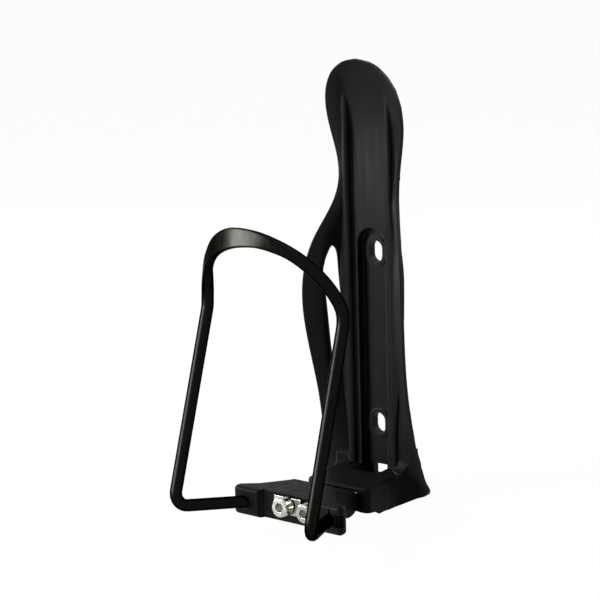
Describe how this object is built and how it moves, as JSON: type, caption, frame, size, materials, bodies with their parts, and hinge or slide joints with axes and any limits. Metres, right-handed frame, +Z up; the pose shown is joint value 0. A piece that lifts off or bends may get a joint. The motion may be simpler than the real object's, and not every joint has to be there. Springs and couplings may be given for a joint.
{
  "type": "bottle cage",
  "caption": "Adjustable bottle cage: black moulded back plate with paddle and wing windows, tilting front block and a bent black rod loop with a flat brushed arch.",
  "frame": {"origin": "on the plane that meets the frame tube, half way between the two frame bolts", "axes": "+Z up along the back plate, +Y towards the bicycle frame, +X to the right seen from the bottle side"},
  "size_m": [0.0618, 0.0869, 0.1603],
  "materials": {
    "black_plastic": "satin moulded",
    "black_rod": "black anodised, brushed on the arch",
    "chrome_steel": "bright plated"
  },
  "bodies": {
    "frame_side": {"back_plate": "black_plastic"},
    "loop_side": {"pivot_block": "black_plastic", "wire_loop": "black_rod", "clamp_screw": "chrome_steel", "clamp_nut": "chrome_steel"},
    "washer": {"barrel_washer": "chrome_steel"},
    "nut": {"barrel_nut": "chrome_steel"},
    "screw": {"adjusting_screw": "chrome_steel"}
  },
  "joints": [
    {"name": "loop_tilt", "type": "hinge", "parent": "frame_side", "child": "loop_side", "pos_m": [0, -0.028, -0.0532], "axis": [1, 0, 0], "range_deg": [-2, 6]},
    {"name": "nut_swivel", "type": "hinge", "parent": "frame_side", "child": "nut", "pos_m": [0, -0.017, -0.053], "axis": [1, 0, 0], "range_deg": [-1.51, 4.52]},
    {"name": "washer_swivel", "type": "hinge", "parent": "loop_side", "child": "washer", "pos_m": [0, -0.0604, -0.0472], "axis": [1, 0, 0], "range_deg": [-1.5, 0.51]},
    {"name": "screw_turn", "type": "hinge", "parent": "nut", "child": "screw", "pos_m": [0, -0.017, -0.053], "axis": [0, 0.9912, -0.1325], "range_deg": [-89.16, 29.73]}
  ],
  "couplings": [
    {"joint": "nut_swivel", "follows": "loop_tilt", "ratio": 0.7516},
    {"joint": "washer_swivel", "follows": "loop_tilt", "ratio": -0.2484},
    {"joint": "screw_turn", "follows": "loop_tilt", "ratio": -14.858}
  ]
}
